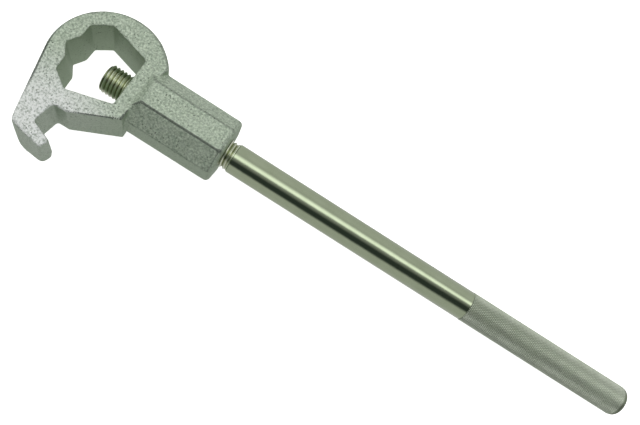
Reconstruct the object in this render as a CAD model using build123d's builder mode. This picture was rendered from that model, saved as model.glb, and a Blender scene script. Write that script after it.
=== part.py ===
from build123d import *
import os
from math import asin, cos, degrees, radians, sin, sqrt

# Adjustable fire hydrant wrench, millimetres.
# +X runs along the handle from the jaw to the knurled grip, +Y points away from
# the spanner hook, and +Z is the normal of the head's front face.
# The origin is the centre of the jaw opening, on the handle's axis, half way
# through the head's thickness.
# The jaw and the outside of the hook are cast with draft: both are cut from the
# front face and draw in toward the back.

# --- Driving dimensions: the cast head ---------------------------------------
HEAD_THICKNESS = 31.7
RING_RADIUS = 37.6
RING_CENTRE_X = 3.4
OUTER_EDGE_ROUND = 1.2
JAW_EDGE_ROUND = 0.8

JAW_APEX = (-24.8, 0)
JAW_BUMP = (-19.7, 8.1)
JAW_NOTCH = (-19.3, 17.7)
JAW_SHOULDER = (-8.4, 25.5)
JAW_THROAT = (20.2, 17.4)
JAW_CORNER_ROUND = 1.6
JAW_DRAFT = 3.4

CHEEK_START_ANGLE = 193
HOOK_HEEL = (-21.0, -61.5)
HOOK_TIP_OUTER = (0.6, -66.0)
HOOK_BACK_DRAFT = 2.6
HOOK_BACK_OVERRUN = 10.0
HOOK_TIP_INNER = (3.7, -57.3)
HOOK_ROOT = (-10.4, -51.6)
HOOK_GAP_TOP = (-7.7, -37.6)
FLANK_START_X = 0.6
FLANK_END = (30.0, -23.2)
HEEL_ROUND = 9.5
TIP_ROUND = 2.8
ROOT_ROUND = 2.0

# --- Driving dimensions: the octagonal neck ----------------------------------
NECK_ACROSS_FLATS = 40.7
NECK_ROOT_X = 28.2
NECK_RAMP_LENGTH = 5.2
NECK_BURIED_LENGTH = 4.0
NECK_END_X = 90.75
NECK_END_ROUND = 3.0
NECK_EDGE_ROUND = 1.0
NECK_CREST_ROUND = 4.0
BORE_MOUTH_CHAMFER = 1.0
BORE_END_X = 17.0
NECK_KEY_DEPTH = 8.0
NECK_KEY_HALF_WIDTH = 12.0
NECK_STEP = 2.4

# --- Driving dimensions: the handle bar and its 3/4-10 screw -----------------
BAR_DIAMETER = 20.0
THREAD_MAJOR_DIAMETER = 19.05
THREAD_PITCH = 2.54
THREAD_CLEARANCE = 0.1
CREST_FLAT = 0.2
GROOVE_OVERSHOOT = 0.2
SCREW_TIP_X = 3.1
SCREW_TIP_CHAMFER = 1.3
THREAD_END_X = 94.6
SHOULDER_X = 96.6
SHOULDER_CHAMFER = 0.6
GRIP_START_X = 274.4
GRIP_DIAMETER = 20.4
GRIP_LEAD = 0.4
HANDLE_END_X = 396.8
HANDLE_END_ROUND = 4.5

# --- Driving dimensions: the core of the bar ---------------------------------
CORE_DIAMETER = 6.0
CORE_LENGTH = 150.0
CORE_CENTRE_X = 200.0
CORE_CLEARANCE = 0.1


def mirrored(point):
    return (point[0], -point[1])


def ring_point(angle):
    x = RING_CENTRE_X + RING_RADIUS * cos(radians(angle))
    y = RING_RADIUS * sin(radians(angle))
    return (x, y)


os.makedirs("parts", exist_ok=True)

half_head = HEAD_THICKNESS / 2
half_neck = NECK_ACROSS_FLATS / 2
thread_radius = THREAD_MAJOR_DIAMETER / 2
bore_radius = thread_radius + THREAD_CLEARANCE

# --- Neck: an octagonal bar that ramps down to the ring's thickness -----------
ramp_end_x = NECK_ROOT_X + NECK_RAMP_LENGTH
ramp_slope = (half_neck - half_head) / NECK_RAMP_LENGTH
neck_start_x = NECK_ROOT_X - NECK_BURIED_LENGTH
neck_start_half = half_head - ramp_slope * NECK_BURIED_LENGTH

with BuildPart() as neck:
    with BuildSketch(Plane.YZ.offset(neck_start_x)):
        RegularPolygon(half_neck, 8, major_radius=False, rotation=22.5)
    extrude(amount=NECK_END_X - neck_start_x)
    with BuildSketch(Plane.XZ):
        with BuildLine():
            Polyline(
                (neck_start_x, neck_start_half),
                (ramp_end_x, half_neck),
                (NECK_END_X, half_neck),
                (NECK_END_X, -half_neck),
                (ramp_end_x, -half_neck),
                (neck_start_x, -neck_start_half),
                close=True,
            )
        make_face()
    extrude(amount=half_neck, both=True, mode=Mode.INTERSECT)
    crests = neck.edges().filter_by(Axis.Y).filter_by_position(Axis.X, ramp_end_x - 0.1, ramp_end_x + 0.1)
    fillet(crests, NECK_CREST_ROUND)
    fillet(neck.edges().filter_by(Axis.X), NECK_EDGE_ROUND)
    fillet(neck.faces().sort_by(Axis.X)[-1].edges(), NECK_END_ROUND)

# --- Head: ring, spanner hook, jaw opening and neck in one casting -----------
# The outline's closing line slants from the neck's step up to the ring, and the
# part of it under the neck is buried in the octagon.
ring_top_angle = degrees(asin(half_neck / RING_RADIUS))
ring_start = ring_point(ring_top_angle)
cheek_start = ring_point(CHEEK_START_ANGLE)
ring_far_side = ring_point((ring_top_angle + CHEEK_START_ANGLE) / 2)
flank_drop = sqrt(RING_RADIUS**2 - (FLANK_START_X - RING_CENTRE_X) ** 2)
flank_start = (FLANK_START_X, -flank_drop)
hook_run = Vector(HOOK_TIP_OUTER) - Vector(HOOK_HEEL)
hook_length = hook_run.length + 2 * HOOK_BACK_OVERRUN
hook_outward = Vector(hook_run.Y, -hook_run.X, 0)
hook_cut_start = Vector(HOOK_HEEL) - hook_run.normalized() * HOOK_BACK_OVERRUN
hook_side = Plane(origin=hook_cut_start, x_dir=hook_outward, z_dir=hook_run)

with BuildPart() as head:
    with BuildSketch(Plane.XY.offset(-half_head)) as plate_sketch:
        with BuildLine() as outline:
            ThreePointArc(ring_start, ring_far_side, cheek_start)
            Polyline(
                cheek_start,
                HOOK_HEEL,
                HOOK_TIP_OUTER,
                HOOK_TIP_INNER,
                HOOK_ROOT,
                HOOK_GAP_TOP,
                flank_start,
                FLANK_END,
                (FLANK_END[0], -NECK_KEY_HALF_WIDTH),
                (FLANK_END[0] + NECK_KEY_DEPTH, -NECK_KEY_HALF_WIDTH),
                (FLANK_END[0] + NECK_KEY_DEPTH, NECK_KEY_HALF_WIDTH),
                (FLANK_END[0] + NECK_STEP, NECK_KEY_HALF_WIDTH),
                ring_start,
            )
        make_face()
        corners = plate_sketch.vertices()
        fillet(corners.sort_by_distance(HOOK_HEEL)[0], HEEL_ROUND)
        corners = plate_sketch.vertices()
        fillet(corners.sort_by_distance(HOOK_TIP_OUTER)[0], TIP_ROUND)
        corners = plate_sketch.vertices()
        fillet(corners.sort_by_distance(HOOK_TIP_INNER)[0], TIP_ROUND / 2)
        corners = plate_sketch.vertices()
        fillet(corners.sort_by_distance(HOOK_ROOT)[0], ROOT_ROUND)
        corners = plate_sketch.vertices()
        fillet(corners.sort_by_distance(HOOK_GAP_TOP)[0], ROOT_ROUND)
    extrude(amount=HEAD_THICKNESS)
    with BuildSketch(Plane.XY.offset(half_head)) as jaw_sketch:
        with BuildLine():
            Polyline(
                JAW_APEX,
                JAW_BUMP,
                JAW_NOTCH,
                JAW_SHOULDER,
                JAW_THROAT,
                mirrored(JAW_THROAT),
                mirrored(JAW_SHOULDER),
                mirrored(JAW_NOTCH),
                mirrored(JAW_BUMP),
                close=True,
            )
        make_face()
        fillet(jaw_sketch.vertices(), JAW_CORNER_ROUND)
    extrude(amount=-HEAD_THICKNESS, taper=JAW_DRAFT, mode=Mode.SUBTRACT)
    rims = head.faces().filter_by(Axis.Z)
    outer_rims = [edge for rim in rims for edge in rim.outer_wire().edges()]
    jaw_rims = [edge for rim in rims for wire in rim.inner_wires() for edge in wire.edges()]
    fillet(outer_rims, OUTER_EDGE_ROUND)
    fillet(jaw_rims, JAW_EDGE_ROUND)
    with BuildSketch(hook_side):
        with BuildLine():
            Polyline(
                (0, -half_head),
                (-HOOK_BACK_DRAFT, -half_head),
                (0, half_head),
                (HOOK_BACK_DRAFT, half_head),
                (HOOK_BACK_DRAFT, -half_head),
                close=True,
            )
        make_face()
    extrude(amount=hook_length, mode=Mode.SUBTRACT)
    add(neck.part)
    with BuildSketch(Plane.YZ.offset(NECK_END_X)):
        Circle(bore_radius)
    extrude(amount=BORE_END_X - NECK_END_X, mode=Mode.SUBTRACT)
    mouth = head.faces().filter_by(Axis.X).sort_by(Axis.X)[-1]
    chamfer(mouth.inner_wires()[0].edges(), BORE_MOUTH_CHAMFER)

head.part.label = "head"
export_step(head.part, "parts/head.step")

# --- Handle: one turned bar with a rolled screw at one end and a knurled grip --
bar_radius = BAR_DIAMETER / 2
grip_radius = GRIP_DIAMETER / 2
groove_half_root = THREAD_PITCH / 16
thread_depth = (THREAD_PITCH * (1 - CREST_FLAT) / 2 - groove_half_root) * sqrt(3)
groove_half_mouth = groove_half_root + (thread_depth + GROOVE_OVERSHOOT) / sqrt(3)
core_radius = CORE_DIAMETER / 2
core_start_x = CORE_CENTRE_X - CORE_LENGTH / 2

with BuildPart() as screw:
    with BuildSketch(Plane.YZ.offset(SCREW_TIP_X)):
        Circle(thread_radius)
    extrude(amount=SHOULDER_X - SCREW_TIP_X)
    chamfer(screw.faces().sort_by(Axis.X)[0].edges(), SCREW_TIP_CHAMFER)
    helix = Helix(
        THREAD_PITCH,
        THREAD_END_X - SCREW_TIP_X + THREAD_PITCH,
        thread_radius,
        center=(SCREW_TIP_X - THREAD_PITCH, 0, 0),
        direction=(1, 0, 0),
    )
    with BuildSketch(Plane(helix @ 0, x_dir=(1, 0, 0), z_dir=helix % 0)) as groove:
        with BuildLine():
            Polyline(
                (-groove_half_mouth, GROOVE_OVERSHOOT),
                (groove_half_mouth, GROOVE_OVERSHOOT),
                (groove_half_root, -thread_depth),
                (-groove_half_root, -thread_depth),
                close=True,
            )
        make_face()
    sweep(sections=groove.sketch, path=helix, is_frenet=True, mode=Mode.SUBTRACT)

with BuildPart() as handle:
    with BuildSketch(Plane.XZ):
        with BuildLine():
            Polyline(
                (HANDLE_END_X - HANDLE_END_ROUND, grip_radius),
                (GRIP_START_X + GRIP_LEAD, grip_radius),
                (GRIP_START_X, bar_radius),
                (SHOULDER_X + SHOULDER_CHAMFER, bar_radius),
                (SHOULDER_X, bar_radius - SHOULDER_CHAMFER),
                (SHOULDER_X, 0),
                (HANDLE_END_X, 0),
                (HANDLE_END_X, grip_radius - HANDLE_END_ROUND),
            )
            RadiusArc(
                (HANDLE_END_X, grip_radius - HANDLE_END_ROUND),
                (HANDLE_END_X - HANDLE_END_ROUND, grip_radius),
                -HANDLE_END_ROUND,
            )
        make_face()
    revolve(axis=Axis.X)
    add(screw.part)
    with BuildSketch(Plane.YZ.offset(core_start_x - CORE_CLEARANCE)):
        Circle(core_radius + CORE_CLEARANCE)
    extrude(amount=CORE_LENGTH + 2 * CORE_CLEARANCE, mode=Mode.SUBTRACT)

handle.part.label = "handle"
export_step(handle.part, "parts/handle.step")

# --- Core: the steel on the bar's own axis, which slides while the bar turns ---
with BuildPart() as handle_core:
    with BuildSketch(Plane.YZ.offset(core_start_x)):
        Circle(core_radius)
    extrude(amount=CORE_LENGTH)

handle_core.part.label = "handle_core"
export_step(handle_core.part, "parts/handle_core.step")

for piece in (head, handle, handle_core):
    box = piece.part.bounding_box()
    print(piece.part.label, piece.part.is_valid, len(piece.part.solids()), round(piece.part.volume), box)
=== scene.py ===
# %% [markdown]
# # A hydrant wrench, from the casting to the knurl
# The wrench is two pieces of zinc-plated metal. A cast iron head carries the jaw, the
# spanner hook and an octagonal neck. A turned steel bar is screwed through the neck, and
# its far end is knurled for the hand. The frame that is loaded here gives the head's shape,
# the bar's two ends and the grip's radius. Other sizes are named where they are first used.

import math

import bmesh
import bpy
from mathutils import Matrix, Quaternion, Vector


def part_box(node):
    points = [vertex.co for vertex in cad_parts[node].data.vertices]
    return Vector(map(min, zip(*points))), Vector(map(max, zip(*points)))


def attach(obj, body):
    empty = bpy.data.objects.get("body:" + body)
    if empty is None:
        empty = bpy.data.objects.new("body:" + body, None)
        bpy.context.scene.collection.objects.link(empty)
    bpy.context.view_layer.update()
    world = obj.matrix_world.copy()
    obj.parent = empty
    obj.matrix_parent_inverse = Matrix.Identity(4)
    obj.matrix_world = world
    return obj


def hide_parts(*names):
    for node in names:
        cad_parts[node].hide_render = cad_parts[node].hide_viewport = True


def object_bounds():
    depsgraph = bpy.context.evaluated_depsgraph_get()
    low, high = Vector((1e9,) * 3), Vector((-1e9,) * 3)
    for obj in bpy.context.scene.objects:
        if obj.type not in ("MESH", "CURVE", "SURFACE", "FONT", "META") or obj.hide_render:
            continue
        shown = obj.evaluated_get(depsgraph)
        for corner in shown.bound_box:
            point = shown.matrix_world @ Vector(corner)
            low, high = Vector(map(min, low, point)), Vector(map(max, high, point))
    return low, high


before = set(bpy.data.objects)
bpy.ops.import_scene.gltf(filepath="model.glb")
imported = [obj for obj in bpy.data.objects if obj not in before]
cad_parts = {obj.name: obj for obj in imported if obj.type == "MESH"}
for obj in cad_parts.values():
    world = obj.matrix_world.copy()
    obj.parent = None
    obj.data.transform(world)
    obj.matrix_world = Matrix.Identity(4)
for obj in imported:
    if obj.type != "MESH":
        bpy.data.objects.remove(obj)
cad_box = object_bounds()
MM = 0.001
bar_low, bar_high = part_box("handle")
head_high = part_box("head")[1]
print("CAD box, mm:", [[round(v / MM, 1) for v in corner] for corner in cad_box])

# %% [markdown]
# Colours are picked as sRGB hex values, but a shader works in linear light, so one
# function turns a hex value into the linear colour. A second one adds any node with its
# settings and links in one call, which keeps each node tree readable as a list. The
# settings of the common arithmetic nodes get names of their own.

# %% Colour and node helpers
MATH = "ShaderNodeMath"
ADD, SUBTRACT, MULTIPLY, DIVIDE, MULTIPLY_ADD = (
    {"operation": name} for name in ("ADD", "SUBTRACT", "MULTIPLY", "DIVIDE", "MULTIPLY_ADD"))
SMOOTH = {"interpolation_type": "SMOOTHSTEP"}
COLOURS = {"data_type": "RGBA"}


def linear(hex_colour):
    """The linear colour of an sRGB hex value, with its alpha."""
    channels = [int(hex_colour[i:i + 2], 16) / 255 for i in (1, 3, 5)]
    return [c / 12.92 if c <= 0.04045 else ((c + 0.055) / 1.055) ** 2.4 for c in channels] + [1.0]


def node(tree, kind, settings=None, **inputs):
    """Adds a node. An input is a value, or a node whose first output is linked, or a
    (node, output) pair, or a list of nodes. An input is named, or is i and its number."""
    made = tree.nodes.new(kind)
    for name, value in (settings or {}).items():
        setattr(made, name, value)
    for name, value in inputs.items():
        key = int(name[1:]) if name[0] == "i" and name[1:].isdigit() else name.replace("_", " ")
        several = isinstance(value, list) and isinstance(value[0], bpy.types.Node)
        for source in value if several else [value]:
            if isinstance(source, bpy.types.Node):
                source = (source, 0)
            if isinstance(source, tuple) and isinstance(source[0], bpy.types.Node):
                tree.links.new(source[0].outputs[source[1]], made.inputs[key])
            else:
                made.inputs[key].default_value = source
    return made


print("hex #808080 in linear light:", round(linear("#808080")[0], 3))

# %% [markdown]
# The camera looks down on the front face of the head from above, a little from the hook's
# side, and is rolled so that the handle runs from the top left to the bottom right. It is
# given by its place, the point that it looks at, and its roll about that line.

# %% Camera
CAMERA_PLACE = Vector((0.1293, -0.1553, 0.4532))
CAMERA_AIM = Vector((0.1594, 0.0035, 0.0))
CAMERA_ROLL = math.radians(42.6)
CAMERA_LENS = 42.2
CAMERA_SHIFT = (0.0011, -0.0095)

camera_data = bpy.data.cameras.new("camera")
camera_data.lens = CAMERA_LENS
camera_data.shift_x, camera_data.shift_y = CAMERA_SHIFT
camera = bpy.data.objects.new("camera", camera_data)
scene = bpy.context.scene
scene.collection.objects.link(camera)
turn = (CAMERA_AIM - CAMERA_PLACE).to_track_quat("-Z", "Y") @ Quaternion((0, 0, 1), CAMERA_ROLL)
camera.matrix_world = Matrix.Translation(CAMERA_PLACE) @ turn.to_matrix().to_4x4()
scene.camera = camera
print("camera", tuple(round(v, 3) for v in CAMERA_PLACE))

# %% [markdown]
# Bright metal shows the room around it, so the studio is mostly a plan for what the bar
# will mirror. A world gradient turns about the handle's axis: a bright band overhead, a
# dark stretch on the camera's side, and plain grey all round the rest. The gradient leans
# with X, so that the band's reflection drifts round the bar along its length.

# %% World
STUDIO_BAND = 1.6
STUDIO_GREY = 0.55
STUDIO_DARK = 0.05
LEAN = -0.27
SHADE_TINT = (0.8, 1.0, 0.95)

scene.view_settings.view_transform = "Standard"
world = bpy.data.worlds.new("studio")
scene.world = world
world.use_nodes = True
sky = world.node_tree
sky.nodes.clear()
direction = node(sky, "ShaderNodeTexCoord")
split = node(sky, "ShaderNodeSeparateXYZ", Vector=(direction, "Generated"))
lean = node(sky, MATH, MULTIPLY, i0=(split, "X"), i1=LEAN)
across = node(sky, MATH, ADD, i0=(split, "Y"), i1=lean)
angle = node(sky, MATH, {"operation": "ARCTAN2"}, i0=across, i1=(split, "Z"))
share = node(sky, "ShaderNodeMapRange", Value=angle, From_Min=-math.pi, From_Max=math.pi)
ramp = node(sky, "ShaderNodeValToRGB", Fac=share)
# Degrees from straight up, growing toward +Y, and the light that comes from there.
stops = [
    (-180, STUDIO_GREY), (-82, STUDIO_GREY), (-68, STUDIO_DARK), (-40, STUDIO_DARK),
    (-16, 0.40), (-6, STUDIO_BAND), (5, STUDIO_BAND), (24, 0.56), (50, 0.62), (180, STUDIO_GREY),
]
for number in range(len(stops) - len(ramp.color_ramp.elements)):
    ramp.color_ramp.elements.new((number + 1) / len(stops))
for element, (degrees, level) in zip(ramp.color_ramp.elements, stops):
    element.position = (degrees + 180) / 360
    tint = SHADE_TINT if level == STUDIO_DARK else (1, 1, 1)
    element.color = [level / STUDIO_BAND * share_of for share_of in tint] + [1]
glow = node(sky, "ShaderNodeBackground", Color=ramp, Strength=STUDIO_BAND)
node(sky, "ShaderNodeOutputWorld", Surface=glow)
print("studio stops:", len(stops))

# %% [markdown]
# The floor is plain white and glows, so that it stays white under the wrench. It is left
# out of the reflections, which belong to the studio's gradient.

# %% Floor
FLOOR_HALF_WIDTH = 3.0
FLOOR_GLOW = 0.9
FLOOR_ROUGHNESS = 0.9

floor_mesh = bpy.data.meshes.new("floor")
w = FLOOR_HALF_WIDTH
floor_z = cad_box[0][2]
corners = [(-w, -w, floor_z), (w, -w, floor_z), (w, w, floor_z), (-w, w, floor_z)]
floor_mesh.from_pydata(corners, [], [(0, 1, 2, 3)])
floor = bpy.data.objects.new("floor", floor_mesh)
scene.collection.objects.link(floor)
floor.visible_glossy = False
floor_paint = bpy.data.materials.new("white_paper_sweep")
floor_paint.use_nodes = True
floor_shader = floor_paint.node_tree.nodes["Principled BSDF"]
floor_shader.inputs["Base Color"].default_value = linear("#f4f4f2")
floor_shader.inputs["Emission Color"].default_value = linear("#ffffff")
floor_shader.inputs["Emission Strength"].default_value = FLOOR_GLOW
floor_shader.inputs["Roughness"].default_value = FLOOR_ROUGHNESS
floor_mesh.materials.append(floor_paint)
print("floor height, mm:", round(floor_z / MM, 2))

# %% [markdown]
# ## Zinc-plated cast iron
# Iron poured into sand keeps the sand's grain on its skin, and the zinc plated over it
# follows every grain, so the faces sparkle instead of shining. Moulding sand is mostly
# finer than half a millimetre, which would not show here, so the grain is drawn as coarse
# as it needs to show. Small pits lie in patches, and gather where the ring meets the neck.

# %% Grain and pits
SAND_GRAIN = 1.35 * MM
FINE_GRAIN = 0.9 * MM
PIT_SPACING = 1.9 * MM
PIT_FLOOR, PIT_RIM = 0.08, 0.24
PATCH_SPREAD = 14 * MM
PATCH_EDGE = (0.45, 0.56)
THROAT_CORNER = (26 * MM, 14 * MM, 16 * MM)
THROAT_REACH = (3 * MM, 13 * MM)

cast_zinc = bpy.data.materials.new("zinc_plated_sand_cast_iron")
cast_zinc.use_nodes = True
tree = cast_zinc.node_tree
shader = tree.nodes["Principled BSDF"]
shader.inputs["Metallic"].default_value = 1.0
here = (node(tree, "ShaderNodeTexCoord"), "Object")
grain = node(tree, "ShaderNodeTexNoise", Vector=here, Scale=1 / SAND_GRAIN, Detail=3.0, Roughness=0.7)
fine = node(tree, "ShaderNodeTexNoise", Vector=here, Scale=1 / FINE_GRAIN, Detail=1.0)
cloud = node(tree, "ShaderNodeTexNoise", Vector=here, Scale=1 / PATCH_SPREAD, Detail=2.0)
cells = node(tree, "ShaderNodeTexVoronoi", Vector=here, Scale=1 / PIT_SPACING)
pits = node(tree, "ShaderNodeMapRange", SMOOTH, Value=(cells, "Distance"),
            From_Min=PIT_FLOOR, From_Max=PIT_RIM, To_Min=1.0, To_Max=0.0)
patches = node(tree, "ShaderNodeMapRange", Value=(cloud, "Fac"),
               From_Min=PATCH_EDGE[0], From_Max=PATCH_EDGE[1])
throat_far = node(tree, "ShaderNodeVectorMath", {"operation": "DISTANCE"}, i0=here, i1=THROAT_CORNER)
throat = node(tree, "ShaderNodeMapRange", Value=(throat_far, "Value"),
              From_Min=THROAT_REACH[0], From_Max=THROAT_REACH[1], To_Min=1.0, To_Max=0.0)
rough_spots = node(tree, MATH, {"operation": "MAXIMUM"}, i0=patches, i1=throat)
pitted = node(tree, MATH, MULTIPLY, i0=pits, i1=rough_spots)
print("cast zinc grain, mm:", round(SAND_GRAIN / MM, 2))

# %% [markdown]
# The grain also sets the tone: each grain is a little lighter or darker than the next. Round
# the hook a lighter, glinting set of tones is mixed in, a painted highlight where the hook
# catches the light. The upright walls are mixed toward a darker colour, painted shade. The
# skin built further on stores how upright each place is, as the attribute that is called side.

# %% Zinc tones
GRAIN_TONES = ((0.30, "#96a792"), (0.70, "#e8f3e1"))
HOOK_GLINT_TONES = ((0.30, "#a8b2a6"), (0.55, "#fcfffc"))
HOOK_MIDDLE = (-10 * MM, -52 * MM, 16 * MM)
HOOK_GLINT_REACH = (12 * MM, 58 * MM)
WALL_SHADE = 0.7

tone = node(tree, "ShaderNodeValToRGB", Fac=(grain, "Fac"))
painted_glint = node(tree, "ShaderNodeValToRGB", Fac=(grain, "Fac"))
for made, tones in ((tone, GRAIN_TONES), (painted_glint, HOOK_GLINT_TONES)):
    for element, (position, colour) in zip(made.color_ramp.elements, tones):
        element.position = position
        element.color = linear(colour)
hook_far = node(tree, "ShaderNodeVectorMath", {"operation": "DISTANCE"}, i0=here, i1=HOOK_MIDDLE)
# The lighter tones near the hook are a painted highlight, fading out with distance from the hook.
hook_glint_share = node(tree, "ShaderNodeMapRange", SMOOTH, Value=(hook_far, "Value"),
                 From_Min=HOOK_GLINT_REACH[0], From_Max=HOOK_GLINT_REACH[1], To_Min=1.0, To_Max=0.0)
bright = node(tree, "ShaderNodeMix", COLOURS, i0=hook_glint_share, i6=tone, i7=painted_glint)
side = node(tree, "ShaderNodeAttribute", {"attribute_name": "side"})
# Upright walls are mixed toward a darker colour: painted shade.
wall_shade_share = node(tree, MATH, MULTIPLY, i0=(side, "Fac"), i1=WALL_SHADE)
wall_shaded = node(tree, "ShaderNodeMix", COLOURS, i0=wall_shade_share, i6=(bright, 2), i7=linear("#a9b8a2"))
print("hook sparkle fades out by, mm:", round(HOOK_GLINT_REACH[1] / MM))

# %% [markdown]
# A thin dark line is painted on the rims of the faces: a painted reflection of dark surroundings
# in the rounded rims. The line is left off the jaw and off the hook, and is fainter on the
# side away from the hook. The walls in the jaw are given a duller, darker colour, painted shade in
# the recess. The attributes called edge, jaw and recess mark these places, and are stored
# with the skin further on.

# %% Painted dark rims and painted shade in recesses
# The settings below are for the painted dark reflection on the rims.
RIM_DARK_REFLECTION = 0.75
RIM_EDGE = (0.05, 0.2)
RIM_LINE_OFF_HOOK = (16 * MM, 30 * MM)
RIM_LINE_SIDE_TURN = 6 * MM
RIM_LINE_FAR_SIDE = 0.5

edge = node(tree, "ShaderNodeAttribute", {"attribute_name": "edge"})
jaw = node(tree, "ShaderNodeAttribute", {"attribute_name": "jaw"})
recess = node(tree, "ShaderNodeAttribute", {"attribute_name": "recess"})
rim = node(tree, "ShaderNodeMapRange", Value=(edge, "Fac"),
           From_Min=RIM_EDGE[0], From_Max=RIM_EDGE[1], To_Max=RIM_DARK_REFLECTION)
lying = node(tree, MATH, SUBTRACT, i0=rim, i1=(side, "Fac"))
rim_line = node(tree, MATH, {**SUBTRACT, "use_clamp": True}, i0=lying, i1=(jaw, "Fac"))
off_hook = node(tree, "ShaderNodeMapRange", Value=(hook_far, "Value"),
                From_Min=RIM_LINE_OFF_HOOK[0], From_Max=RIM_LINE_OFF_HOOK[1])
sides = node(tree, "ShaderNodeSeparateXYZ", Vector=here)
by_side = node(tree, "ShaderNodeMapRange", Value=(sides, "Y"), From_Min=-RIM_LINE_SIDE_TURN,
               From_Max=RIM_LINE_SIDE_TURN, To_Min=1.0, To_Max=RIM_LINE_FAR_SIDE)
strength = node(tree, MATH, MULTIPLY, i0=off_hook, i1=by_side)
painted_rim_reflection = node(tree, MATH, MULTIPLY, i0=rim_line, i1=strength)
# The dark line on the rims is a painted reflection.
rim_reflected = node(tree, "ShaderNodeMix", COLOURS, i0=painted_rim_reflection, i6=(wall_shaded, 2), i7=linear("#59615a"))
# Walls in the jaw's recess are mixed toward a duller, darker colour: painted shade.
painted_recess_shade = node(tree, "ShaderNodeMix", COLOURS, i0=(recess, "Fac"), i6=(rim_reflected, 2), i7=linear("#aebea6"))
spotted = node(tree, "ShaderNodeMix", COLOURS, i0=pitted, i6=(painted_recess_shade, 2), i7=linear("#4c5548"))
tree.links.new(spotted.outputs[2], shader.inputs["Base Color"])
# The burn printed here is the strength of the painted dark reflection on the rims.
print("burn on the rims:", RIM_DARK_REFLECTION, "and on the far side:", RIM_DARK_REFLECTION * RIM_LINE_FAR_SIDE)

# %% [markdown]
# The relief of single grains is too small for the mesh, so it is left to bump: the sand's
# grain first, a finer grain on it, and the pits sunk into both. Each bump hands its normal
# on to the next. The upright walls are left smoother, because a pattern rubs the mould's
# walls as it is drawn from the sand, and they keep about a third of the grain.

# %% Zinc relief
NOISE_MIDDLE = (0.3, 0.7)
ZINC_ROUGHNESS = (0.52, 0.70)
WALL_GRAIN = 0.35
GRAIN_RELIEF = 0.5 * MM
FINE_RELIEF = 0.2 * MM
PIT_RELIEF = 0.25 * MM

shine = node(tree, "ShaderNodeMapRange", Value=(fine, "Fac"), From_Min=NOISE_MIDDLE[0],
             From_Max=NOISE_MIDDLE[1], To_Min=ZINC_ROUGHNESS[0], To_Max=ZINC_ROUGHNESS[1])
tree.links.new(shine.outputs["Result"], shader.inputs["Roughness"])
smoother = node(tree, "ShaderNodeMapRange", Value=(side, "Fac"), To_Min=1.0, To_Max=WALL_GRAIN)
depth = node(tree, MATH, MULTIPLY, i0=(grain, "Fac"), i1=smoother)
coarse_bump = node(tree, "ShaderNodeBump", Height=depth, Strength=1.0, Distance=GRAIN_RELIEF)
fine_bump = node(tree, "ShaderNodeBump", Height=(fine, "Fac"), Strength=0.7, Distance=FINE_RELIEF,
                 Normal=coarse_bump)
pit_bump = node(tree, "ShaderNodeBump", {"invert": True}, Height=pitted, Strength=0.8,
                Distance=PIT_RELIEF, Normal=fine_bump)
tree.links.new(pit_bump.outputs["Normal"], shader.inputs["Normal"])
print("grain relief, mm:", round(GRAIN_RELIEF / MM, 2))

# %% [markdown]
# ## Bright zinc on turned steel
# The bar is drawn round stock, and its plating is bright zinc with a clear passivate that
# leaves a faint yellow-green cast. The shank is nearly a mirror, and only hair-fine rings
# from polishing break it up. They are drawn coarser than real ones, which would not show.
# The rolled thread and the knurl are hazier than the shank, and their grooves are given painted shade.

# %% Bar finishes
POLISH_RING = 0.35 * MM
RING_STRETCH = 0.06
RING_RELIEF = 0.02 * MM
HAZE_PATCH = 9 * MM
SWAY_RELIEF = 0.08 * MM
HAZE_SPAN = (0.85, 1.2)
KNURL_GROOVE = (9.84 * MM, 10.14 * MM)
THREAD_GROOVE = (8.3 * MM, 9.2 * MM)


def bar_zinc(name, pale, deep, roughness, ring_strength):
    """A zinc finish with two tints in a slow haze, and polishing rings round the bar."""
    made = bpy.data.materials.new(name)
    made.use_nodes = True
    tree = made.node_tree
    shader = tree.nodes["Principled BSDF"]
    shader.inputs["Metallic"].default_value = 1.0
    here = (node(tree, "ShaderNodeTexCoord"), "Object")
    stretched = node(tree, "ShaderNodeMapping", Vector=here, Scale=(1, RING_STRETCH, RING_STRETCH))
    rings = node(tree, "ShaderNodeTexNoise", Vector=stretched, Scale=1 / POLISH_RING, Detail=1.0)
    haze = node(tree, "ShaderNodeTexNoise", Vector=here, Scale=1 / HAZE_PATCH, Detail=3.0)
    colour = node(tree, "ShaderNodeMix", COLOURS, i0=(haze, "Fac"), i6=linear(pale), i7=linear(deep))
    tree.links.new(colour.outputs[2], shader.inputs["Base Color"])
    shine = node(tree, "ShaderNodeMapRange", Value=(haze, "Fac"), From_Min=NOISE_MIDDLE[0],
                 From_Max=NOISE_MIDDLE[1], To_Min=roughness * HAZE_SPAN[0], To_Max=roughness * HAZE_SPAN[1])
    tree.links.new(shine.outputs["Result"], shader.inputs["Roughness"])
    sway = node(tree, "ShaderNodeBump", Height=(haze, "Fac"), Strength=1.0, Distance=SWAY_RELIEF)
    bump = node(tree, "ShaderNodeBump", Height=(rings, "Fac"), Strength=ring_strength,
                Distance=RING_RELIEF, Normal=sway)
    tree.links.new(bump.outputs["Normal"], shader.inputs["Normal"])
    return made


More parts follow.
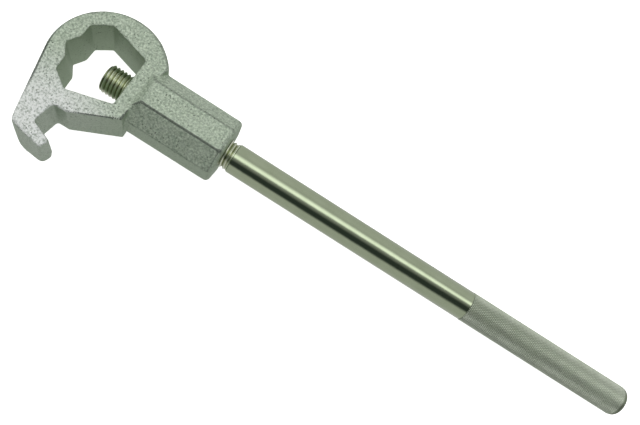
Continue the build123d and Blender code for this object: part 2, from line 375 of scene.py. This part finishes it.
def paint_groove_shade(material, groove, dark):
    """Mixes in a dark colour, painted shade in the grooves, by the distance from the bar's axis,
    from none at the groove's outer radius to all of it at the inner one."""
    tree = material.node_tree
    shader = tree.nodes["Principled BSDF"]
    clean = shader.inputs["Base Color"].links[0].from_socket.node
    here = (node(tree, "ShaderNodeTexCoord"), "Object")
    across = node(tree, "ShaderNodeVectorMath", MULTIPLY, i0=here, i1=(0.0, 1.0, 1.0))
    radius = node(tree, "ShaderNodeVectorMath", {"operation": "LENGTH"}, i0=across)
    low = node(tree, "ShaderNodeMapRange", Value=(radius, "Value"),
               From_Min=groove[0], From_Max=groove[1], To_Min=1.0, To_Max=0.0)
    mixed = node(tree, "ShaderNodeMix", COLOURS, i0=low, i6=(clean, 2), i7=linear(dark))
    tree.links.new(mixed.outputs[2], shader.inputs["Base Color"])


shank_zinc = bar_zinc("bright_zinc_plated_drawn_steel", "#bcc7ab", "#aab698", 0.13, 0.25)
thread_zinc = bar_zinc("bright_zinc_plated_rolled_thread", "#f6faea", "#e8eed6", 0.28, 0.4)
knurl_zinc = bar_zinc("zinc_plated_rolled_knurl", "#eaf0e2", "#d6dfcc", 0.5, 0.2)
# The dark in the knurl's and the thread's grooves is painted shade.
paint_groove_shade(knurl_zinc, KNURL_GROOVE, "#87917c")
paint_groove_shade(thread_zinc, THREAD_GROOVE, "#9ea582")
print("bar finishes:", shank_zinc.name, thread_zinc.name, knurl_zinc.name)

# %% [markdown]
# ## The cast head
# A sand casting has no sharp edge and no plain face. A copy of the frame's head is
# remeshed into small even faces and smoothed a little, which rounds its edges and fills
# its corners as molten iron would.

# %% Remesh the casting
CAST_FACE = 0.62 * MM
DOUBLES = 0.002 * MM
EDGE_SOFTENING = 2
SMOOTH_PULL = 0.5


def linked(name, mesh):
    """A new object for a mesh, put in the scene."""
    made = bpy.data.objects.new(name, mesh)
    scene.collection.objects.link(made)
    return made


def baked(piece):
    """Gives the piece the mesh that its modifiers show, and removes the modifiers."""
    shown = piece.evaluated_get(bpy.context.evaluated_depsgraph_get())
    mesh = bpy.data.meshes.new_from_object(shown)
    piece.modifiers.clear()
    piece.data = mesh
    return piece


cast_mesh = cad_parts["head"].data.copy()
shape = bmesh.new()
shape.from_mesh(cast_mesh)
bmesh.ops.remove_doubles(shape, verts=shape.verts, dist=DOUBLES)
shape.to_mesh(cast_mesh)
shape.free()
casting = linked("casting", cast_mesh)
remesh = casting.modifiers.new("even faces", "REMESH")
remesh.mode = "VOXEL"
remesh.voxel_size = CAST_FACE
soften = casting.modifiers.new("soften", "SMOOTH")
soften.factor = SMOOTH_PULL
soften.iterations = EDGE_SOFTENING
baked(casting)
print("casting faces:", len(casting.data.polygons))

# %% [markdown]
# Three places are rounder than the rest: the root of the neck, the heel of the hook and
# the back of the hook's tip. A vertex group says how much each point is softened, and a
# Smooth modifier with many passes works on that group alone. The places are in millimetres.

# %% Round the root, the heel and the hook's back
ROOT_SOFTENING = 200
NECK_SHARE = 0.12
NECK_GAIN = 1.6
NECK_ROOT_X, NECK_ROOT_REACH = 27.5, 5.5
FLANK_Y = -19
CLEAR_OF_HOLE = 14
HEEL_SHARE = 0.3
HEEL_X, HEEL_Y, HEEL_REACH = -20, -60, 9
BACK_X, BACK_Y, BACK_Z = -12, -54, -6
BACK_BLEND_X, BACK_BLEND_Y, BACK_BLEND_Z = 8, 4, 5


def softness(x, y, z):
    """How much the casting is softened at a place, from 0 for not at all to 1."""
    on_neck = y > FLANK_Y and math.hypot(y, z) > CLEAR_OF_HOLE
    at_neck = max(0.0, 1 - abs(x - NECK_ROOT_X) / NECK_ROOT_REACH) if on_neck else 0.0
    behind = (BACK_Z - z) / BACK_BLEND_Z, (BACK_Y - y) / BACK_BLEND_Y, (x - BACK_X) / BACK_BLEND_X
    at_hook_back = max(0.0, min(1.0, *behind))
    at_heel = max(0.0, 1 - math.hypot(x - HEEL_X, y - HEEL_Y) / HEEL_REACH)
    return min(1.0, NECK_SHARE * min(1.0, NECK_GAIN * at_neck) + HEEL_SHARE * at_heel + at_hook_back)


root = casting.vertex_groups.new(name="root")
softened = 0
for vertex in casting.data.vertices:
    weight = softness(*(vertex.co / MM))
    if weight > 0:
        root.add([vertex.index], weight, "REPLACE")
        softened += 1
fillet = casting.modifiers.new("fillet", "SMOOTH")
fillet.factor = SMOOTH_PULL
fillet.iterations = ROOT_SOFTENING
fillet.vertex_group = "root"
baked(casting)
casting.vertex_groups.clear()
print("points softened further:", softened)

# %% [markdown]
# Geometry Nodes push the skin in and out along its normals by two noises: a slow wave, and
# a grain about three of the mesh's faces wide, the finest that the mesh can hold. The
# smoothing has shrunk the casting by about a tenth of a millimetre, and the swell gives
# that back.

# %% Sand skin
SKIN_WAVE = 7.0 * MM
SKIN_WAVE_DEPTH = 0.12 * MM
SKIN_GRAIN = 1.9 * MM
SKIN_GRAIN_DEPTH = 0.10 * MM
JAW_REACH = 30 * MM
SMOOTHING_LOSS = 0.09 * MM
EDGE_BEND = 0.06
EDGE_BEND_FULL = 0.28

skin = bpy.data.node_groups.new("sand_skin", "GeometryNodeTree")
skin.interface.new_socket(name="Geometry", in_out="INPUT", socket_type="NodeSocketGeometry")
skin_sizes = {
    "Wave": SKIN_WAVE, "Wave depth": SKIN_WAVE_DEPTH,
    "Grain": SKIN_GRAIN, "Grain depth": SKIN_GRAIN_DEPTH, "Jaw reach": JAW_REACH,
    "Swell": SMOOTHING_LOSS, "Edge bend": EDGE_BEND,
}
for name in skin_sizes:
    skin.interface.new_socket(name=name, in_out="INPUT", socket_type="NodeSocketFloat")
skin.interface.new_socket(name="Geometry", in_out="OUTPUT", socket_type="NodeSocketGeometry")
given = node(skin, "NodeGroupInput")
position = node(skin, "GeometryNodeInputPosition")
normal = node(skin, "GeometryNodeInputNormal")

rise = []
for name in ("Wave", "Grain"):
    size = node(skin, MATH, DIVIDE, i0=1.0, i1=(given, name))
    noise = node(skin, "ShaderNodeTexNoise", Vector=position, Scale=size, Detail=1.0)
    centred = node(skin, MATH, SUBTRACT, i0=noise, i1=0.5)
    rise.append(node(skin, MATH, MULTIPLY, i0=centred, i1=(given, name + " depth")))
wavy = node(skin, MATH, ADD, i0=rise[0], i1=rise[1])
total = node(skin, MATH, ADD, i0=wavy, i1=(given, "Swell"))
push = node(skin, "ShaderNodeVectorMath", {"operation": "SCALE"}, i0=normal, Scale=total)
print("skin depth, mm:", round(SKIN_GRAIN_DEPTH / MM, 2))

# %% [markdown]
# The same tree marks four kinds of place for the finish. A place is a side when its
# normal lies nearly level. It faces the jaw when its normal points back to the jaw's
# middle from within reach of it, and it is a recess when it is both. It is an edge when
# the faces on its two sides bend away from each other.

# %% Marks for the finish
WALL_TILT = (0.25, 0.75)

facing = node(skin, "ShaderNodeSeparateXYZ", Vector=normal)
flatness = node(skin, MATH, {"operation": "ABSOLUTE"}, i0=(facing, "Z"))
sideways = node(skin, "ShaderNodeMapRange", SMOOTH, Value=flatness,
                From_Min=WALL_TILT[0], From_Max=WALL_TILT[1], To_Min=1.0, To_Max=0.0)
level = node(skin, "ShaderNodeVectorMath", MULTIPLY, i0=position, i1=(1.0, 1.0, 0.0))
away = node(skin, "ShaderNodeVectorMath", {"operation": "LENGTH"}, i0=level)
inward = node(skin, "ShaderNodeVectorMath", {"operation": "DOT_PRODUCT"}, i0=level, i1=normal)
faces_jaw = node(skin, MATH, {"operation": "LESS_THAN"}, i0=(inward, "Value"), i1=0.0)
in_reach = node(skin, MATH, {"operation": "LESS_THAN"}, i0=(away, "Value"), i1=(given, "Jaw reach"))
jaw_wall = node(skin, MATH, MULTIPLY, i0=faces_jaw, i1=in_reach)
recessed = node(skin, MATH, MULTIPLY, i0=jaw_wall, i1=sideways)
bend = node(skin, "GeometryNodeInputMeshEdgeAngle")
convex = node(skin, "GeometryNodeFieldOnDomain", {"domain": "EDGE"}, i0=(bend, "Signed Angle"))
sharp = node(skin, "ShaderNodeMapRange", Value=convex,
             From_Min=(given, "Edge bend"), From_Max=EDGE_BEND_FULL)
marks = {"edge": sharp, "jaw": jaw_wall, "recess": recessed, "side": sideways}
marked = (given, "Geometry")
for name, mark in marks.items():
    marked = node(skin, "GeometryNodeStoreNamedAttribute", Geometry=marked, Name=name, Value=mark)
print("marks:", ", ".join(marks))

# %% [markdown]
# The tree ends by moving the points, smoothing the shading and setting the finish. It is
# run on the casting as a modifier, whose inputs are set by their sockets' identifiers.

# %% Grow the skin
pushed = node(skin, "GeometryNodeSetPosition", Geometry=marked, Offset=push)
smooth = node(skin, "GeometryNodeSetShadeSmooth", Geometry=pushed)
painted = node(skin, "GeometryNodeSetMaterial", Geometry=smooth, Material=cast_zinc)
real = node(skin, "GeometryNodeRealizeInstances", Geometry=painted)
node(skin, "NodeGroupOutput", Geometry=real)


def grow(piece, tree, values):
    """Runs a geometry tree on a piece with these input values, and keeps the result as its mesh."""
    modifier = piece.modifiers.new(tree.name, "NODES")
    modifier.node_group = tree
    for socket in tree.interface.items_tree:
        if socket.in_out == "INPUT" and socket.name in values:
            modifier[socket.identifier] = values[socket.name]
    return baked(piece)


grow(casting, skin, skin_sizes)
print("casting points:", len(casting.data.vertices))

# %% [markdown]
# The hole for the screw is drilled and tapped after casting, so it stays crisp. A turned
# cutter with a chamfered mouth is taken out of the rough casting last.

# %% Bore
BORE_RADIUS = 9.75 * MM
BORE_CHAMFER = 1.0 * MM
CUTTER_START = 5 * MM
CUTTER_OVERRUN = 2 * MM
SEGMENTS = 72
CAST_CREASE = math.radians(50)


def lathe(stations, segments):
    """A closed solid turned about X from (x, radius) stations. A radius of 0 closes an end."""
    shape = bmesh.new()
    rings = []
    for x, radius in stations:
        if radius == 0:
            rings.append([shape.verts.new((x, 0, 0))])
            continue
        turns = [2 * math.pi * k / segments for k in range(segments)]
        rings.append([shape.verts.new((x, radius * math.cos(t), radius * math.sin(t))) for t in turns])
    for near, far in zip(rings, rings[1:]):
        for k in range(segments):
            n = (k + 1) % segments
            loop = [near[k % len(near)], near[n % len(near)], far[n % len(far)], far[k % len(far)]]
            shape.faces.new(list(dict.fromkeys(loop)))
    bmesh.ops.recalc_face_normals(shape, faces=shape.faces)
    mesh = bpy.data.meshes.new("turned")
    shape.to_mesh(mesh)
    shape.free()
    return mesh


mouth = head_high.x
cutter_end = mouth + CUTTER_OVERRUN
cutter = linked("cutter", lathe([
    (CUTTER_START, 0), (CUTTER_START, BORE_RADIUS), (mouth - BORE_CHAMFER, BORE_RADIUS),
    (cutter_end, BORE_RADIUS + BORE_CHAMFER + CUTTER_OVERRUN), (cutter_end, 0),
], SEGMENTS))
cutter.data.materials.append(cast_zinc)
drill = casting.modifiers.new("drill", "BOOLEAN")
drill.operation = "DIFFERENCE"
drill.solver = "EXACT"
drill.object = cutter
baked(casting)
bpy.data.objects.remove(cutter)
for face in casting.data.polygons:
    face.use_smooth = True
casting.data.set_sharp_from_angle(angle=CAST_CREASE)
casting.name = "cast_head"
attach(casting, "head")
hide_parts("head")
print("cast head triangles:", sum(len(f.vertices) - 2 for f in casting.data.polygons))

# %% [markdown]
# ## The bar
# The bar starts on the lathe: the shoulder behind the thread with its chamfer, the plain
# shank, a slightly smaller stretch under the knurl, and a rounded end. All of it has the
# same number of faces round it as the thread, so that the two meet edge to edge.

# %% Shank
THREAD_END = 96.4 * MM
SHOULDER = 96.6 * MM
SHOULDER_FACE = 0.05 * MM
SHOULDER_CHAMFER = 0.55 * MM
THREAD_RADIUS = 9.525 * MM
SHANK_RADIUS = 10.0 * MM
KNURL_START = 274.4 * MM
KNURL_LEAD = 0.2 * MM
KNURL_ROOT_RADIUS = 9.86 * MM
END_ROUND = 4.5 * MM
END_STEPS = 8

bar_tip, bar_end = bar_low.x, bar_high.x
knurl_radius = bar_high.z
chamfer_start = SHOULDER + SHOULDER_FACE
stations = [
    (SHOULDER, THREAD_RADIUS),
    (chamfer_start, SHANK_RADIUS - SHOULDER_CHAMFER),
    (chamfer_start + SHOULDER_CHAMFER, SHANK_RADIUS),
    (KNURL_START - KNURL_LEAD, SHANK_RADIUS),
    (KNURL_START, KNURL_ROOT_RADIUS),
]
for step in range(END_STEPS + 1):
    bend = math.radians(90) * step / END_STEPS
    reach = END_ROUND * math.sin(bend)
    drop = END_ROUND * (1 - math.cos(bend))
    stations.append((bar_end - END_ROUND + reach, SHANK_RADIUS - drop))
stations.append((bar_end, 0))
bar = linked("bar", lathe(stations, SEGMENTS))
for face in bar.data.polygons:
    face.use_smooth = True
print("bar length, mm:", round((bar_end - bar_tip) / MM, 1))

# %% [markdown]
# The screw and the knurl are made by one geometry tree. It is given the turned bar, and
# its named inputs are its sizes and its counts.

# %% The tree for the screw and the knurl
details = bpy.data.node_groups.new("bar_details", "GeometryNodeTree")
details.interface.new_socket(name="Geometry", in_out="INPUT", socket_type="NodeSocketGeometry")
size_names = (
    "Tip", "Thread end", "Land end", "Pitch", "Major radius", "Thread depth", "Tip chamfer",
    "Knurl start", "Knurl root", "Knurl height", "Row step", "Diamond width",
)
count_names = ("Around", "Rows", "Knurl rows", "Knurl starts", "Seed")
for name in size_names + count_names:
    kind = "NodeSocketFloat" if name in size_names else "NodeSocketInt"
    details.interface.new_socket(name=name, in_out="INPUT", socket_type=kind)
details.interface.new_socket(name="Geometry", in_out="OUTPUT", socket_type="NodeSocketGeometry")
given = node(details, "NodeGroupInput")
spot = node(details, "ShaderNodeSeparateXYZ", Vector=node(details, "GeometryNodeInputPosition"))
print("tree inputs:", len(size_names) + len(count_names))

# %% [markdown]
# The screw is a 3/4-10 thread, one turn every 2.54 mm. Geometry Nodes roll a flat grid
# round the bar and shear it by one pitch a turn, so the grid's own rows run along the
# crests and roots. The sheared ends are squared off by holding x inside the screw, and
# the points that then fall together are merged.

# %% Place along the screw
THREAD_PITCH = 2.54 * MM
ROWS_PER_PITCH = 8

around_points = node(details, MATH, ADD, i0=(given, "Around"), i1=1.0)
row_points = node(details, MATH, ADD, i0=(given, "Rows"), i1=1.0)
sheet = node(details, "GeometryNodeMeshGrid", Size_X=1.0, Size_Y=1.0,
             Vertices_X=row_points, Vertices_Y=around_points)
turn_share = node(details, MATH, ADD, i0=(spot, "Y"), i1=0.5)
turn_angle = node(details, MATH, MULTIPLY, i0=turn_share, i1=2 * math.pi)
row_share = node(details, MATH, ADD, i0=(spot, "X"), i1=0.5)
rows_along = node(details, MATH, MULTIPLY, i0=row_share, i1=(given, "Rows"))
pitches = node(details, MATH, DIVIDE, i0=rows_along, i1=float(ROWS_PER_PITCH))
sheared = node(details, MATH, ADD, i0=pitches, i1=turn_share)
shifted = node(details, MATH, SUBTRACT, i0=sheared, i1=1.0)
x_free = node(details, MATH, MULTIPLY_ADD, i0=shifted, i1=(given, "Pitch"), i2=(given, "Tip"))
x_past_tip = node(details, MATH, {"operation": "MAXIMUM"}, i0=x_free, i1=(given, "Tip"))
x_held = node(details, MATH, {"operation": "MINIMUM"}, i0=x_past_tip, i1=(given, "Land end"))
print("thread turns:", round((THREAD_END - bar_tip) / THREAD_PITCH, 1))

# %% [markdown]
# The radius falls from crest to root and back once a pitch. The two ends of the fall are
# clipped, which blunts the crest and the root a little. The groove runs out over the last
# half pitch, and the tip is chamfered: the radius there can't be more than its distance
# from the tip allows. The nudge keeps a row of points from falling right on a whole pitch.

# %% Thread profile
THREAD_DEPTH = 1.3 * MM
TIP_CHAMFER = 1.3 * MM
CREST_CLIP, ROOT_CLIP = 0.12, 0.9
PHASE_NUDGE = 0.001

nudged = node(details, MATH, ADD, i0=pitches, i1=PHASE_NUDGE)
phase = node(details, MATH, {"operation": "FRACT"}, i0=nudged)
off_crest = node(details, MATH, SUBTRACT, i0=phase, i1=0.5)
wave = node(details, MATH, {"operation": "ABSOLUTE"}, i0=off_crest)
whole_wave = node(details, MATH, MULTIPLY, i0=wave, i1=2.0)
groove_share = node(details, "ShaderNodeMapRange", Value=whole_wave,
                    From_Min=CREST_CLIP, From_Max=ROOT_CLIP)
past_end = node(details, MATH, SUBTRACT, i0=x_held, i1=(given, "Thread end"))
run_out = node(details, "ShaderNodeMapRange", Value=past_end,
               From_Min=-THREAD_PITCH / 2, From_Max=0.0, To_Min=1.0, To_Max=0.0)
faded_share = node(details, MATH, MULTIPLY, i0=groove_share, i1=run_out)
groove = node(details, MATH, MULTIPLY, i0=faded_share, i1=(given, "Thread depth"))
threaded = node(details, MATH, SUBTRACT, i0=(given, "Major radius"), i1=groove)
from_tip = node(details, MATH, SUBTRACT, i0=x_held, i1=(given, "Tip"))
tip_radius = node(details, MATH, SUBTRACT, i0=(given, "Major radius"), i1=(given, "Tip chamfer"))
chamfered = node(details, MATH, ADD, i0=tip_radius, i1=from_tip)
radius = node(details, MATH, {"operation": "MINIMUM"}, i0=threaded, i1=chamfered)
print("thread root radius, mm:", round((THREAD_RADIUS - THREAD_DEPTH) / MM, 2))

# %% [markdown]
# The grid is rolled up by the sine and cosine of each point's turn. A disc closes the tip,
# with as many points round it as the screw, so that the two can be sewn together.

# %% Roll the screw
turn_cosine = node(details, MATH, {"operation": "COSINE"}, i0=turn_angle)
turn_sine = node(details, MATH, {"operation": "SINE"}, i0=turn_angle)
y_place = node(details, MATH, MULTIPLY, i0=radius, i1=turn_cosine)
z_place = node(details, MATH, MULTIPLY, i0=radius, i1=turn_sine)
rolled = node(details, "ShaderNodeCombineXYZ", X=x_held, Y=y_place, Z=z_place)
screw = node(details, "GeometryNodeSetPosition", Geometry=sheet, Position=rolled)
disc = node(details, "GeometryNodeMeshCircle", {"fill_type": "TRIANGLE_FAN"},
            Vertices=(given, "Around"), Radius=tip_radius)
disc_at = node(details, "ShaderNodeCombineXYZ", X=(given, "Tip"))
disc_turn = node(details, "FunctionNodeEulerToRotation", Euler=(0.0, -math.pi / 2, 0.0))
tip_face = node(details, "GeometryNodeTransform", Geometry=disc, Translation=disc_at,
                Rotation=disc_turn)
screw_shell = node(details, "GeometryNodeJoinGeometry", Geometry=[screw, tip_face])
screw_smooth = node(details, "GeometryNodeSetShadeSmooth", Geometry=screw_shell)
screw_done = node(details, "GeometryNodeSetMaterial", Geometry=screw_smooth, Material=thread_zinc)
print("points round the screw:", SEGMENTS)

# %% [markdown]
# The knurl is rolled in by two wheels whose ridges cross, and leaves rows of diamonds with
# flat tops. Geometry Nodes set a small truncated pyramid on every crossing of two helices:
# each row sits half a diamond on from the last, and the pyramids' corners touch. First the
# seats are placed, from a grid that holds one point for each diamond.

# %% Knurl seats
KNURL_STARTS = 52
DIAMOND_LENGTH = 2.1 * MM
DIAMONDS_START = 275.3 * MM
DIAMONDS_END = 392.6 * MM
DIAMOND_SINK = 0.05 * MM

knurl_rows = int((DIAMONDS_END - DIAMONDS_START) / (DIAMOND_LENGTH / 2)) + 1
diamond_root = KNURL_ROOT_RADIUS - DIAMOND_SINK
last_row = node(details, MATH, SUBTRACT, i0=(given, "Knurl rows"), i1=1.0)
last_start = node(details, MATH, SUBTRACT, i0=(given, "Knurl starts"), i1=1.0)
seats = node(details, "GeometryNodeMeshGrid", Size_X=last_row, Size_Y=last_start,
             Vertices_X=(given, "Knurl rows"), Vertices_Y=(given, "Knurl starts"))
row_place = node(details, MATH, MULTIPLY_ADD, i0=last_row, i1=0.5, i2=(spot, "X"))
row_number = node(details, MATH, {"operation": "ROUND"}, i0=row_place)
start_place = node(details, MATH, MULTIPLY_ADD, i0=last_start, i1=0.5, i2=(spot, "Y"))
start_number = node(details, MATH, {"operation": "ROUND"}, i0=start_place)
odd_row = node(details, MATH, {"operation": "MODULO"}, i0=row_number, i1=2.0)
half_step = node(details, MATH, MULTIPLY, i0=odd_row, i1=0.5)
staggered = node(details, MATH, ADD, i0=start_number, i1=half_step)
knurl_turn = node(details, MATH, DIVIDE, i0=staggered, i1=(given, "Knurl starts"))
knurl_angle = node(details, MATH, MULTIPLY, i0=knurl_turn, i1=2 * math.pi)
knurl_sine = node(details, MATH, {"operation": "SINE"}, i0=knurl_angle)
knurl_cosine = node(details, MATH, {"operation": "COSINE"}, i0=knurl_angle)
minus_sine = node(details, MATH, MULTIPLY, i0=knurl_sine, i1=-1.0)
seat_radius = node(details, MATH, MULTIPLY_ADD, i0=(given, "Knurl height"), i1=0.5, i2=(given, "Knurl root"))
seat_x = node(details, MATH, MULTIPLY_ADD, i0=row_number, i1=(given, "Row step"), i2=(given, "Knurl start"))
seat_y = node(details, MATH, MULTIPLY, i0=seat_radius, i1=minus_sine)
seat_z = node(details, MATH, MULTIPLY, i0=seat_radius, i1=knurl_cosine)
seat_place = node(details, "ShaderNodeCombineXYZ", X=seat_x, Y=seat_y, Z=seat_z)
seated = node(details, "GeometryNodeSetPosition", Geometry=seats, Position=seat_place)
print("diamonds:", knurl_rows * KNURL_STARTS)

# %% [markdown]
# A four-sided cone with its top cut off is one diamond. It is stood on each seat with its
# axis away from the bar's, and stretched to a diamond's length, width and height. A small
# seeded change in height keeps the light from falling on all of them alike.

# %% Diamonds
DIAMOND_TOP = 0.42
LOWEST_DIAMOND = 0.82

minus_y = node(details, MATH, MULTIPLY, i0=(spot, "Y"), i1=-1.0)
seated_angle = node(details, MATH, {"operation": "ARCTAN2"}, i0=minus_y, i1=(spot, "Z"))
outward = node(details, "ShaderNodeCombineXYZ", X=seated_angle)
upright = node(details, "FunctionNodeEulerToRotation", Euler=outward)
diamond = node(details, "GeometryNodeMeshCone", {"fill_type": "NGON"}, Vertices=4, Side_Segments=1,
               Radius_Top=DIAMOND_TOP, Radius_Bottom=1.0, Depth=1.0)
centred = node(details, "GeometryNodeTransform", Geometry=diamond, Translation=(0.0, 0.0, -0.5))
chance = node(details, "FunctionNodeRandomValue", i2=LOWEST_DIAMOND, i3=1.0, Seed=(given, "Seed"))
tall = node(details, MATH, MULTIPLY, i0=(given, "Knurl height"), i1=(chance, 1))
half_wide = node(details, MATH, MULTIPLY, i0=(given, "Diamond width"), i1=0.5)
stretch = node(details, "ShaderNodeCombineXYZ", X=(given, "Row step"), Y=half_wide, Z=tall)
diamonds = node(details, "GeometryNodeInstanceOnPoints", Points=seated, Instance=centred,
                Rotation=upright, Scale=stretch)
diamonds_real = node(details, "GeometryNodeRealizeInstances", Geometry=diamonds)
diamonds_flat = node(details, "GeometryNodeSetShadeSmooth", Geometry=diamonds_real, Shade_Smooth=False)
diamonds_done = node(details, "GeometryNodeSetMaterial", Geometry=diamonds_flat, Material=knurl_zinc)
print("diamond height, mm:", round((knurl_radius - diamond_root) / MM, 2))

# %% [markdown]
# The turned bar takes its own finishes, the shank's up to the knurl and the knurl's beyond
# it. It is joined with the screw, their seam is merged, and the diamonds are added.

# %% Join the bar
SEAM = 0.004 * MM

past_shank = node(details, MATH, {"operation": "GREATER_THAN"}, i0=(spot, "X"), i1=(given, "Knurl start"))
shank_done = node(details, "GeometryNodeSetMaterial", Geometry=(given, "Geometry"), Material=shank_zinc)
turned_done = node(details, "GeometryNodeSetMaterial", Geometry=shank_done, Selection=past_shank,
                   Material=knurl_zinc)
shells = node(details, "GeometryNodeJoinGeometry", Geometry=[turned_done, screw_done])
sewn = node(details, "GeometryNodeMergeByDistance", Geometry=shells, Distance=SEAM)
whole = node(details, "GeometryNodeJoinGeometry", Geometry=[sewn, diamonds_done])
bar_real = node(details, "GeometryNodeRealizeInstances", Geometry=whole)
node(details, "NodeGroupOutput", Geometry=bar_real)
print("seam, mm:", round(SEAM / MM, 3))

# %% [markdown]
# The tree is run with its sizes and counts. The joined shells are made to face outward
# again, and edges that bend by more than 40 degrees are kept crisp, such as the thread's
# crests and roots.

# %% Make the bar
KNURL_SEED = 7
BAR_CREASE = math.radians(40)

bar_sizes = {
    "Tip": bar_tip, "Thread end": THREAD_END, "Land end": SHOULDER, "Pitch": THREAD_PITCH,
    "Major radius": THREAD_RADIUS, "Thread depth": THREAD_DEPTH, "Tip chamfer": TIP_CHAMFER,
    "Knurl start": DIAMONDS_START, "Knurl root": diamond_root, "Knurl height": knurl_radius - diamond_root,
    "Row step": DIAMOND_LENGTH / 2, "Diamond width": 2 * math.pi * KNURL_ROOT_RADIUS / KNURL_STARTS,
}
rows = math.ceil((SHOULDER - bar_tip) / THREAD_PITCH + 1) * ROWS_PER_PITCH
counts = {
    "Around": SEGMENTS, "Rows": rows,
    "Knurl rows": knurl_rows, "Knurl starts": KNURL_STARTS, "Seed": KNURL_SEED,
}
grow(bar, details, {**bar_sizes, **counts})
shape = bmesh.new()
shape.from_mesh(bar.data)
bmesh.ops.recalc_face_normals(shape, faces=shape.faces)
shape.to_mesh(bar.data)
shape.free()
bar.data.set_sharp_from_angle(angle=BAR_CREASE)
bar.name = "threaded_bar"
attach(bar, "handle")
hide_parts("handle")
print("bar triangles:", sum(len(f.vertices) - 2 for f in bar.data.polygons))

# %% [markdown]
# The steel on the bar's own axis is a frame node of its own, because it slides while the
# bar turns round it. It is sealed inside the bar and only takes the bar's finish. The two
# frame nodes that the pieces above stand for are given their finishes too.

# %% Core
finishes = {"head": cast_zinc, "handle": shank_zinc, "handle_core": shank_zinc}
for name, finish in finishes.items():
    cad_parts[name].data.materials.clear()
    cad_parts[name].data.materials.append(finish)
print("frame nodes finished:", ", ".join(finishes))
